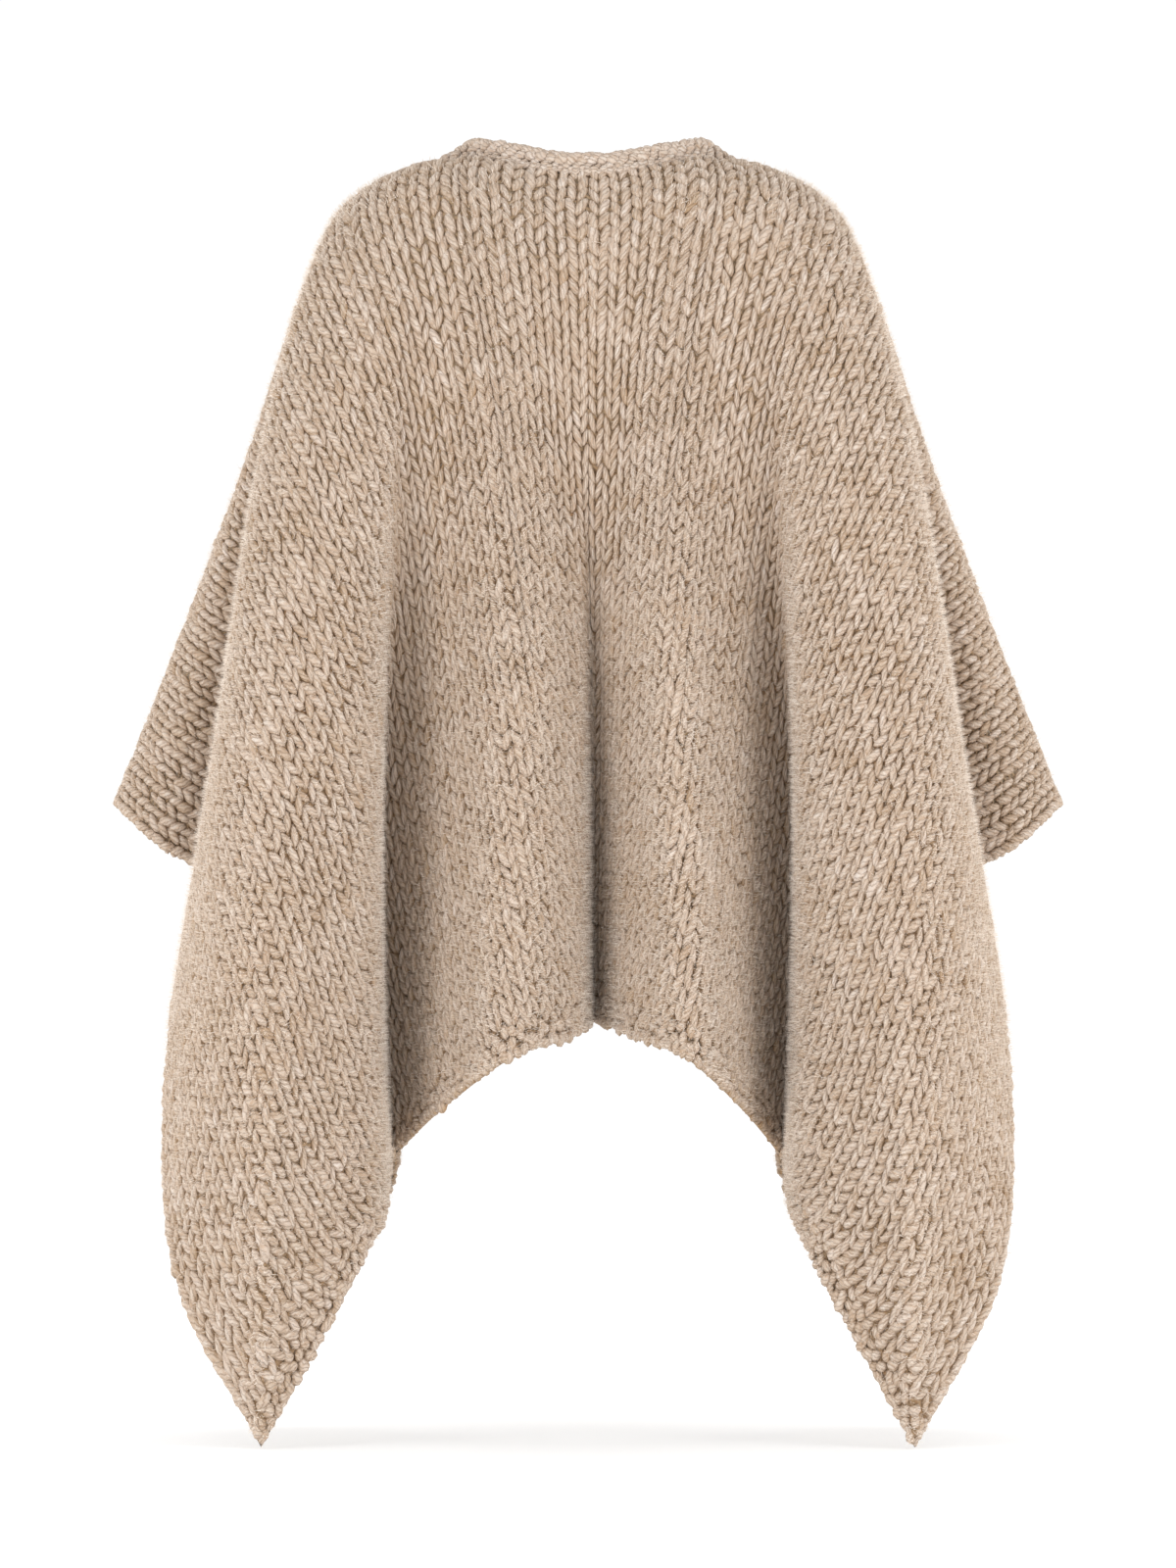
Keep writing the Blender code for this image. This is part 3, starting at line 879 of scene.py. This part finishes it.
# %% Stitches of one half
def stitches(half, form):
    row, column = np.meshgrid(np.arange(STITCH_ROWS), np.arange(STITCH_COLUMNS), indexing="ij")
    across, down = (column + 0.5) * WALE, (row + 0.5) * COURSE
    border = row >= STITCH_ROWS - BORDER_ROWS
    drift = along_rows(STITCH_COLUMNS, STITCH_ROWS, 8).T * ROW_DRIFT
    drift *= np.minimum(1, np.minimum(row, STITCH_ROWS - BORDER_ROWS - row) / 4)
    swell = 1 + ROW_SWELL * along_rows(STITCH_ROWS, STITCH_COLUMNS, 4)
    shade = 1 + ROW_SHADE * along_rows(STITCH_ROWS, STITCH_COLUMNS, 6)
    lean = LEG_LEAN + (LOW_LEAN - LEG_LEAN) * smooth_step(down, *LEAN_CHANGE)
    sets = []
    for hand in (-1, 1):
        own_drift = drift + along_rows(STITCH_COLUMNS, STITCH_ROWS, 5).T * LEG_DRIFT
        keep = ~border & (down + own_drift > rim_level(half, across) - 0.3 * COURSE)
        count = int(keep.sum())
        size = swell[keep] * (1 + vary(0.075, count))
        sets.append(loops_on_cloth(
            half, form,
            across=across[keep] + hand * LEG_OFFSET + vary(0.35 * MM, count),
            down=(down + own_drift)[keep] + vary(0.7 * MM, count),
            lean=hand * (lean[keep] + vary(0.10, count)),
            length=LEG_LENGTH * size**0.5 * (1 + vary(0.05, count)),
            width=LEG_HALF_WIDTH * size,
            depth=LEG_DEPTH * size,
            lift=vary(0.35 * MM, count),
            tone=shade[keep] * (1 + vary(0.035, count)),
            bow=hand * (LEG_BOW + vary(0.4 * MM, count))))
    row, column = np.divmod(np.arange(KNOB_ROWS * KNOB_COLUMNS), KNOB_COLUMNS)
    count = len(row)
    size = 1 + vary(0.09, count)
    sets.append(loops_on_cloth(
        half, form,
        across=(column + 0.25 + 0.5 * (row % 2)) * KNOB_PITCH + vary(1.2 * MM, count),
        down=CUT_LENGTH - (row + 0.45) * BORDER_ROWS * COURSE / KNOB_ROWS + vary(1.5 * MM, count),
        lean=np.where((row + column) % 2 == 0, 1, -1) * KNOB_LEAN + vary(0.45, count),
        length=KNOB_LENGTH * size,
        width=KNOB_HALF_WIDTH * size,
        depth=LEG_DEPTH * size,
        lift=KNOB_LIFT + vary(0.35 * MM, count),
        tone=1 + vary(0.04, count)))
    return loops_piece(half, "stitches", form, *(np.concatenate(group) for group in zip(*sets)))


knits = {half: stitches(half, fine_leg if half.startswith("back") else plain_leg) for half in HALVES}

# %% [markdown]
# ## The edges
# A knitted edge ends in a chain: the cast-on loops along the hem, and the turns of the yarn along the
# side edge. Here each is a rope of short leaning loops, closed all round because the edge is seen from
# both sides. It also hides where the thin cloth stops.

# %% Edge ropes
EDGE_PITCH = 8.6 * MM
EDGE_RADIUS = 3.6 * MM
EDGE_INSET = 2.8 * MM
EDGE_LENGTH = 12.5 * MM
EDGE_LIFT = -0.2 * MM
HEM_LEAN = math.radians(62)
SELVEDGE_LEAN = math.radians(-24)


def edge_rope(half):
    hem = np.arange(0.5, CUT_HALF_WIDTH / EDGE_PITCH) * EDGE_PITCH
    selvedge = np.arange(0.5, CUT_LENGTH / EDGE_PITCH) * EDGE_PITCH
    across = np.concatenate([hem, np.full(len(selvedge), CUT_HALF_WIDTH - EDGE_INSET)])
    down = np.concatenate([np.full(len(hem), CUT_LENGTH - EDGE_INSET), selvedge])
    lean = np.repeat([HEM_LEAN, SELVEDGE_LEAN], [len(hem), len(selvedge)])
    count = len(across)
    size = 1 + vary(0.09, count)
    return loops_piece(half, "edge", edge_loop, *loops_on_cloth(
        half, edge_loop,
        across=across + vary(0.4 * MM, count),
        down=down,
        lean=lean + vary(0.12, count),
        length=EDGE_LENGTH * size,
        width=EDGE_RADIUS * size,
        depth=EDGE_RADIUS * size,
        lift=EDGE_LIFT + vary(0.3 * MM, count),
        tone=1 + vary(0.035, count)))


edges = {half: edge_rope(half) for half in HALVES}

# %% [markdown]
# The two panels are joined along the shoulders and the arms. Seen from the side, the join is one more
# chain of loops, laid over the line where the columns of both panels meet.

# %% Joining chain
JOIN_PITCH = WALE / 2
JOIN_LENGTH = 14 * MM
JOIN_HALF_WIDTH = 4.4 * MM
JOIN_DEPTH = 3.2 * MM
JOIN_LIFT = 1.6 * MM
JOIN_LEAN = math.radians(58)


def joining_chain(half):
    across = np.arange(NECK_HALF_WIDTH + 1.2 * JOIN_PITCH, CUT_HALF_WIDTH - JOIN_PITCH / 2, JOIN_PITCH)
    count = len(across)
    size = 1 + vary(0.08, count)
    return loops_piece(half, "join", edge_loop, *loops_on_cloth(
        half, edge_loop,
        across=across,
        down=np.zeros(count),
        lean=JOIN_LEAN + vary(0.15, count),
        length=JOIN_LENGTH * size,
        width=JOIN_HALF_WIDTH * size,
        depth=JOIN_DEPTH * size,
        lift=JOIN_LIFT + vary(0.3 * MM, count),
        tone=1 + vary(0.035, count)))


joins = {half: joining_chain(half) for half in HALVES if half.startswith("back")}

# %% [markdown]
# ## The neckband
# Round the neck the last row is cast off over a narrow roll. Close up it is a rope of plump loops, all
# leaning the same way, above a row of smaller knots, and its top is smooth and soft. A plain tube
# carries the loops, so that no gap can be seen through, and it is painted darker as the shade between them.

# %% The roll's path
BAND_TOP = 19.5 * MM
BAND_FOOT = -1.5 * MM
BAND_HEIGHT = BAND_TOP - BAND_FOOT
BAND_THICKNESS = 13 * MM
BAND_INSET = 5.5 * MM
BAND_STEPS = 180
RIM_STEPS = 241
ROUNDING = 3


def band_path(count):
    """Middle of the roll, its direction, and its outward and upward directions, evenly spaced."""
    s = np.linspace(-NECK_END, NECK_END, RIM_STEPS)
    rim = np.concatenate([back_points(s, np.zeros(1))[0], front_points(s, np.zeros(1))[0][::-1][1:-1]])
    closed = np.concatenate([rim, rim[:1]])
    length = run_length(closed)
    at = np.linspace(0, length[-1], count, endpoint=False)
    point = np.stack([np.interp(at, length, closed[:, axis]) for axis in range(3)], axis=1)
    for _ in range(ROUNDING):
        point = (np.roll(point, 1, axis=0) + 2 * point + np.roll(point, -1, axis=0)) / 4
    along = unit(np.roll(point, -1, axis=0) - np.roll(point, 1, axis=0))
    outward = unit(np.cross(along, [0, 0, 1]))
    up = np.cross(outward, along)
    middle = point - outward * BAND_INSET + up * (BAND_TOP + BAND_FOOT) / 2
    return middle, along, outward, up


print("neckband length", round(float(run_length(band_path(BAND_STEPS)[0])[-1]), 3), "m")

# %% Neckband loops
ROLL_SIDES = 12
BAND_LOOPS = 62
BAND_TONE = 1.17
# Painted shade: the tube under the loops is darkened, so that the gaps between them read as shade.
ROLL_SHADE_TONE = 0.8
ROLL_SKIN = 1.8 * MM
LOOP_SKIN = 2.2 * MM
LOOP_DEPTH = 3.5 * MM
LOOP_BEND = 1.5 * MM
BAND_ROWS = (
    # angle round the roll, lean, length, half width, shift in pitches, how far the row stands out in mm
    (-68, 20, 12.0, 4.4, 0.5, 5.0),
    (-52, 20, 12.0, 4.4, 0.0, 3.5),
    (-24, 42, 11.5, 4.3, 0.5, 1.8),
    (24, 56, 14.0, 5.4, 0.0, 0.5),
    (68, 64, 14.5, 4.4, 0.5, 0.0),
    (112, 74, 14.0, 3.8, 0.0, 0.0),
    (160, 80, 13.0, 3.5, 0.5, 0.0),
)
SHOULDER_SHARPNESS = 8
SHOULDER_SPREAD = np.array([
    # angle round the roll, and where it meets the shoulders how far it spreads out and up in mm
    (-112, 0.0, 0.0),
    (-90, 22.0, -1.0),
    (-68, 20.0, 0.5),
    (-52, 13.0, 2.8),
    (-24, 7.5, 4.5),
    (24, 2.0, 2.0),
    (68, 0.0, 0.0),
])


def near_shoulder(out):
    """How far a place on the band lies on the shoulders, from 0 to 1."""
    return out[:, :1] ** SHOULDER_SHARPNESS


def spread_at(degrees, out, rise):
    """How the roll spreads over the shoulders at an angle round it."""
    angle, outwards, upwards = SHOULDER_SPREAD.T
    way = out * np.interp(degrees, angle, outwards) + rise * np.interp(degrees, angle, upwards)
    return near_shoulder(out) * way * MM


def roll_surface(degrees, skin, out, rise):
    """From the roll's middle to its surface less a skin."""
    turn = math.radians(degrees)
    sideways = out * math.cos(turn) * (BAND_THICKNESS / 2 - skin)
    upwards = rise * math.sin(turn) * (BAND_HEIGHT / 2 - skin)
    return sideways + upwards + spread_at(degrees, out, rise)


def band_loops(degrees, lean, length, width, shift, stand):
    """Points and yarn map of one row of loops round the roll."""
    pick = (np.arange(BAND_LOOPS) * 4 + round(shift * 4)) % (BAND_LOOPS * 4)
    place, way, out, rise = (part[pick] for part in band_path(BAND_LOOPS * 4))
    turn = math.radians(degrees)
    lying = near_shoulder(out) * np.interp(degrees, (-52, 24, 68), (1, 0.6, 0))
    normal = (out * math.cos(turn) + rise * math.sin(turn)) * (1 - lying) + (0.5 * out + 0.87 * rise) * lying
    normal = unit(normal)
    tilt = math.radians(lean) + vary(0.2, BAND_LOOPS, 1)
    forward = way * np.sin(tilt) + np.cross(normal, way) * np.cos(tilt)
    aside = np.cross(forward, normal)
    size = 1 + vary(0.11, BAND_LOOPS, 1)
    stray = rise * vary(0.5 * MM, BAND_LOOPS, 1)
    middle = place + roll_surface(degrees, LOOP_SKIN, out, rise) + out * stand * MM + stray
    form = edge_loop
    along = form.along * size * length * MM
    height = form.up * size * LOOP_DEPTH - LOOP_BEND * (2 * form.along) ** 2
    points = (middle[:, None] + forward[:, None] * along[..., None]
              + aside[:, None] * (form.aside * size * width * MM)[..., None]
              + normal[:, None] * height[..., None])
    around = np.broadcast_to(form.around, along.shape) + chance.uniform(0, 1, (BAND_LOOPS, 1))
    yarn_map = np.stack([around, np.broadcast_to(form.along, along.shape)], axis=-1)
    return points.reshape(-1, 3), yarn_map.reshape(-1, 2)


# %% The neckband's rope
def neckband():
    middle, _, outward, up = band_path(BAND_STEPS)
    angles = np.linspace(-180, 180, ROLL_SIDES, endpoint=False)
    ring = np.stack([middle + roll_surface(angle, ROLL_SKIN, outward, up) for angle in angles], axis=1)
    number = np.arange(BAND_STEPS * ROLL_SIDES).reshape(BAND_STEPS, ROLL_SIDES)
    following, turned = np.roll(number, -1, axis=0), np.roll(number, -1, axis=1)
    roll = np.stack([number, following, np.roll(following, -1, axis=1), turned], axis=-1).reshape(-1, 4)
    roll_map = np.stack([np.tile(np.arange(ROLL_SIDES) / 4, BAND_STEPS),
                         np.repeat(np.arange(BAND_STEPS) / 3, ROLL_SIDES)], axis=1)
    points, maps, tones, faces = [ring.reshape(-1, 3)], [roll_map], [np.full(number.size, ROLL_SHADE_TONE)], [roll]
    start = number.size
    for row in BAND_ROWS:
        row_points, row_map = band_loops(*row)
        points.append(row_points)
        maps.append(row_map)
        tones.append(np.repeat(BAND_TONE + vary(0.03, BAND_LOOPS), edge_loop.count))
        faces += [group + start for group in edge_loop.faces(BAND_LOOPS, False)]
        start += len(row_points)
    return make_piece("neckband_rope", np.concatenate(points), faces, np.concatenate(maps),
                      np.concatenate(tones), stitch_wool)


band = neckband()

# %% [markdown]
# ## Fuzz
# Loosely spun wool wears a halo of fine hairs. It softens every outline and whitens the crests of the
# folds, because worn knitting felts where it is rubbed. So more hairs stand where the cloth is rounded
# outwards, and few beside the neck. The long ones are narrow ribbons of two pieces that start on the
# stitches and bend away. The many short ones are single slivers, so that a soft nap costs few faces.

# %% Fuzz material
HAIR_TAN = (0.86, 0.77, 0.68, 1)
HAIR_PALE = (0.95, 0.89, 0.82, 1)


def hair_wool():
    material, tree, shader = new_finish("loose_wool_hair", {
        "Roughness": 0.8, "Specular IOR Level": 0.2, "Sheen Weight": 0.3})
    tree.links.new(blend_colours(tree, noise(tree, 160, 2), HAIR_TAN, HAIR_PALE), shader.inputs["Base Color"])
    return material


hair_material = hair_wool()
print("material", hair_material.name)

# %% Where hairs stand
CREST_REACH = 12
CREST_PULL = 0.045
HAIRS_ON_FLAT = 0.25
FEWEST_HAIRS = 0.06
BARE_RIM = 70 * MM
SHARPEST_FOLD = 20


def spots_on_crests(half, count):
    """Random places on the rectangle, more of them where the worn cloth is rounded outwards, and how much."""
    net = nets[half]
    turn, step = (np.gradient(part, axis=1) for part in (net[..., 3:], net[..., :3]))
    bulge = (turn * step).sum(axis=-1) / (step**2).sum(axis=-1)
    bulge = np.clip(bulge, -SHARPEST_FOLD, SHARPEST_FOLD)
    bulge = np.array([moving_sum(line, CREST_REACH) for line in bulge]) / (CREST_REACH + 1)
    wish = np.clip(HAIRS_ON_FLAT + bulge * CREST_PULL, FEWEST_HAIRS, 1)
    print(half, "share of hairs kept", np.round(np.percentile(wish, (5, 25, 50, 75, 95)), 2))
    draws = chance.uniform(0, 1, (4 * count, 3))
    row = (draws[:, 0] * NET_ROWS).astype(int)
    column = (draws[:, 1] * NET_COLUMNS).astype(int)
    down, across = draws[:, 0] * CUT_LENGTH, draws[:, 1] * CUT_HALF_WIDTH
    past_rim = down - rim_level(half, across)
    beside_neck = across < NECK_HALF_WIDTH + BARE_RIM
    thinned = np.where(beside_neck, np.clip(past_rim / BARE_RIM, 0.1, 1), 1)
    kept = np.flatnonzero((past_rim > 0) & (draws[:, 2] < wish[row, column] * thinned))[:count]
    return across[kept], down[kept], wish[row[kept], column[kept]]


# %% Hairs
HAIRS = {
    # how many on each half of back and front, lengths and widths in mm, leans, where the sections lie
    "long": ({"back": 2500, "front": 2000}, (7, 15), (0.20, 0.32), (0.5, 1.3), (0, 0.5)),
    "short": ({"back": 84000, "front": 36000}, (3.5, 7), (0.34, 0.50), (0.05, 0.45), (0,)),
}
HAIR_OVERHANG = 3 * MM
HAIR_ROOTS = (2.6, 4.4)
HAIR_SWERVE = 0.5
HAIR_TAPER = 0.3


def beside_cut(half, across, down, lift):
    """The draped place of a hair's point, which may hang only a little over the edges of the cut."""
    return drape(half, np.minimum(across, CUT_HALF_WIDTH + HAIR_OVERHANG),
                 np.minimum(down, CUT_LENGTH + HAIR_OVERHANG), lift)


def hairs_of(half, count, lengths, widths, leans, shares):
    """Hairs on one half, as ribbons whose sections lie at the given shares of the length."""
    across, down, crest = spots_on_crests(half, count)
    count = len(across)
    heading = chance.uniform(0, 2 * math.pi, count)
    full_length = chance.uniform(*lengths, count) * MM
    slope = chance.uniform(*leans, count)
    length, rise = full_length * np.sin(slope), full_length * np.cos(slope)
    swerve = vary(HAIR_SWERVE, count)
    width = chance.uniform(*widths, count) * MM * (0.7 + 0.6 * crest)
    root_lift = chance.uniform(*HAIR_ROOTS, count) * MM
    corners = []
    for share in shares:
        way = heading + swerve * share
        a = across + np.cos(way) * length * share
        b = down + np.sin(way) * length * share
        lift = root_lift + rise * share**1.4
        step = width * (0.5 - HAIR_TAPER * share)
        for flip in (-1, 1):
            corners.append(beside_cut(half, a + flip * step * np.sin(way), b - flip * step * np.cos(way),
                                      lift + flip * step))
    way = heading + swerve
    corners.append(beside_cut(half, across + np.cos(way) * length, down + np.sin(way) * length,
                              root_lift + rise))
    return np.stack(corners, axis=1).reshape(-1, 3)


def fuzz(panel):
    halves = [panel + "_right", panel + "_left"]
    long, short = (np.concatenate([hairs_of(half, counts[panel], *form) for half in halves])
                   for counts, *form in HAIRS.values())
    start = np.arange(len(long) // 5)[:, None] * 5
    short_start = len(long) + np.arange(len(short) // 3)[:, None] * 3
    faces = [start + [0, 1, 3, 2], start + [2, 3, 4], short_start + [0, 1, 2]]
    points = np.concatenate([long, short])
    blank, even = np.zeros((len(points), 2)), np.ones(len(points))
    return make_piece(panel + "_fuzz", points, faces, blank, even, hair_material)


halos = {panel: fuzz(panel) for panel in cloths}

# %% [markdown]
# ## Replaced solids
# The cloth shells take the place of the plain solids in the picture, and the neckband rope takes the place of
# the roll, so those solids are hidden.

# %% Replaced solids
for panel, cloth in cloths.items():
    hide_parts(panel + "_panel")
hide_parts("neckband")
print("triangles in all", sum(triangles for _, triangles in made))

# %% [markdown]
# ## Floor, light and camera
# A white studio: a pale floor at the height of the longest points, light from all round, and four large
# soft lamps, two on the side of the camera and two weaker ones beyond the cape, that give the folds
# their shape. The floor glows a little, so that the shadow under the cape stays faint. The camera looks
# straight at the back with a long lens, level with the middle of the picture, and the photo's scale holds
# in the plane of the upper back.

# %% Floor
FLOOR_RADIUS = 14
FLOOR_CORNERS = 96
FLOOR_GREYS = ((0.69, 0.69, 0.69, 1), (0.71, 0.71, 0.71, 1))
FLOOR_GLOW = 0.33
lowest = min(corner[2] for corner in (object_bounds()[0], cad_box[0]))


def floor():
    mesh = bpy.data.meshes.new("studio_floor")
    angles = np.linspace(0, 2 * math.pi, FLOOR_CORNERS, endpoint=False)
    ring = [(FLOOR_RADIUS * math.cos(angle), FLOOR_RADIUS * math.sin(angle), 0) for angle in angles]
    mesh.from_pydata(ring, [], [list(range(FLOOR_CORNERS))])
    material, tree, shader = new_finish("pale_paper", {
        "Roughness": 0.9, "Emission Color": (1, 1, 1, 1), "Emission Strength": FLOOR_GLOW})
    tree.links.new(blend_colours(tree, noise(tree, 3, 3), *FLOOR_GREYS), shader.inputs["Base Color"])
    mesh.materials.append(material)
    piece = bpy.data.objects.new("studio_floor", mesh)
    piece.location = (0, 0, lowest - 1 * MM)
    bpy.context.scene.collection.objects.link(piece)
    piece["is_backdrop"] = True
    return piece


studio_floor = floor()
print("floor at", round(studio_floor.location.z, 4), "m")

# %% Light
scene = bpy.context.scene
scene.view_settings.view_transform = "Standard"
scene.view_settings.look = "None"
scene.view_settings.gamma = 0.90
world = bpy.data.worlds.new("studio")
world.use_nodes = True
world.node_tree.nodes["Background"].inputs["Color"].default_value = (1, 1, 1, 1)
world.node_tree.nodes["Background"].inputs["Strength"].default_value = 1.03
scene.world = world
LAMP_SIZE = 1.4
LAMP_TARGET = (0, 0, -0.5)
LAMPS = {
    # power, how far aside, in depth and in height
    "softbox": (26, 2.1, -2.1, -0.65),
    "far_softbox": (18, 2.1, 2.1, -0.45),
}


def soft_lamp(name, power, place):
    light = bpy.data.lights.new(name, "AREA")
    light.shape = "DISK"
    light.size = LAMP_SIZE
    light.energy = power
    lamp = bpy.data.objects.new(name, light)
    lamp.location = place
    lamp.rotation_euler = (Vector(LAMP_TARGET) - Vector(place)).to_track_quat("-Z", "Y").to_euler()
    scene.collection.objects.link(lamp)


for hand, side in (("left_", -1), ("right_", 1)):
    for name, (power, aside, depth, height) in LAMPS.items():
        soft_lamp(hand + name, power, (side * aside, depth, height))
print("lamps", len(bpy.data.lights))

# %% Camera
PHOTO_SCALE = 0.88 * MM
PHOTO_ROWS = 1600
ORIGIN_ROW = 160
SENSOR = 36
CAMERA_DISTANCE = 10.0
PHOTO_PLANE = -0.10
camera_data = bpy.data.cameras.new("camera")
camera_data.sensor_width = SENSOR
camera_data.lens = SENSOR * CAMERA_DISTANCE / (PHOTO_ROWS * PHOTO_SCALE)
camera = bpy.data.objects.new("camera", camera_data)
camera.location = (0, PHOTO_PLANE - CAMERA_DISTANCE, (ORIGIN_ROW - PHOTO_ROWS / 2) * PHOTO_SCALE)
camera.rotation_euler = (math.radians(90), 0, 0)
scene.collection.objects.link(camera)
scene.camera = camera
print("lens", round(camera_data.lens, 1), "mm")

# %% [markdown]
# ## Sizes and finish
# How far the dressed cape stands proud of its solids is printed for each axis, next to the CAD box printed
# at the start, so that it can be compared after each render. The dressed cape may stand only a little
# proud of its solids.

# %% Sizes and finish
seen_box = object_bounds()
for axis, letter in enumerate("xyz"):
    low, high = seen_box[0][axis] - cad_box[0][axis], seen_box[1][axis] - cad_box[1][axis]
    print(letter, "stands proud by", round(-low * 1000, 1), "and", round(high * 1000, 1), "mm")
